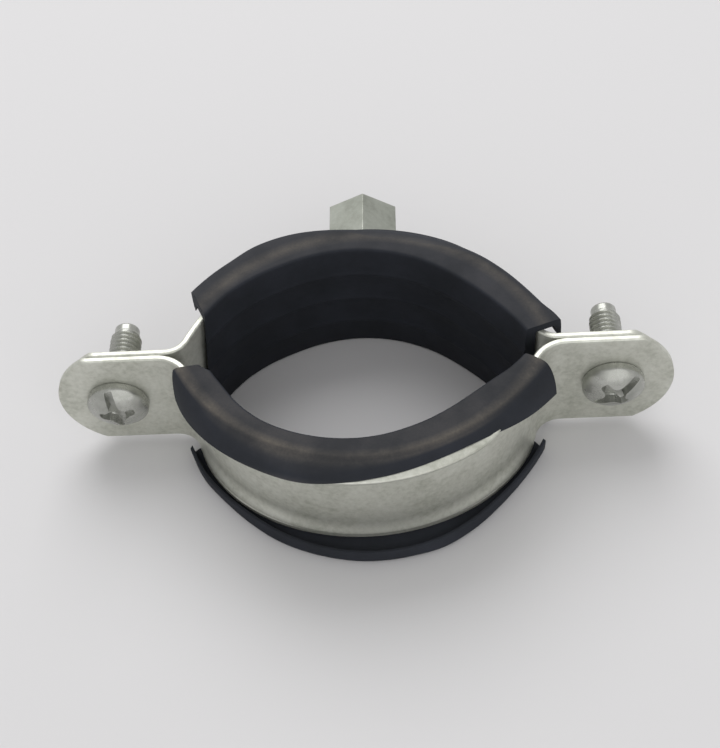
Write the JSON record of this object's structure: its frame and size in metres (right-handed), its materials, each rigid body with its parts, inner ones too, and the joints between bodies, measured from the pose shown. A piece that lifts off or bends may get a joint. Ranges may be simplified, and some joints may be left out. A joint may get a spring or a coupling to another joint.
{
  "type": "rubber lined pipe clamp",
  "caption": "Split steel band pipe clamp with ribbed rubber lining, closed by side screws through its ears and hung from a hexagon connection nut.",
  "frame": {"origin": "on the pipe's axis and on the plane where the ears meet, level with the lower edge of the linings", "axes": "+Z along the pipe's axis, +X along the ears, +Y out of the connection nut"},
  "size_m": [0.0948, 0.0599, 0.0228],
  "materials": {
    "band_steel": "zinc plated sheet, satin, lightly scuffed",
    "lining_rubber": "matt black rubber, slightly dusty",
    "nut_steel": "zinc plated, satin",
    "screw_steel": "zinc plated, bright"
  },
  "bodies": {
    "rear_half": {"rear_band": "band_steel", "rear_lining": "lining_rubber", "connection_nut": "nut_steel"},
    "front_half": {"front_band": "band_steel", "front_lining": "lining_rubber"},
    "left_screw": {"left_screw": "screw_steel"},
    "right_screw": {"right_screw": "screw_steel"}
  },
  "joints": [
    {"name": "front_slide", "type": "slide", "parent": "rear_half", "child": "front_half", "axis": [0, -1, 0], "range_m": [0, 0.01]},
    {"name": "left_screw_turn", "type": "hinge", "parent": "front_half", "child": "left_screw", "pos_m": [-0.0382, 0, 0.0114], "axis": [0, -1, 0], "range_deg": [0, 4500]},
    {"name": "right_screw_turn", "type": "hinge", "parent": "front_half", "child": "right_screw", "pos_m": [0.0382, 0, 0.0114], "axis": [0, -1, 0], "range_deg": [0, 4500]}
  ],
  "couplings": [
    {"joint": "left_screw_turn", "follows": "front_slide", "rad_per_m": 7854},
    {"joint": "right_screw_turn", "follows": "front_slide", "rad_per_m": 7854}
  ]
}
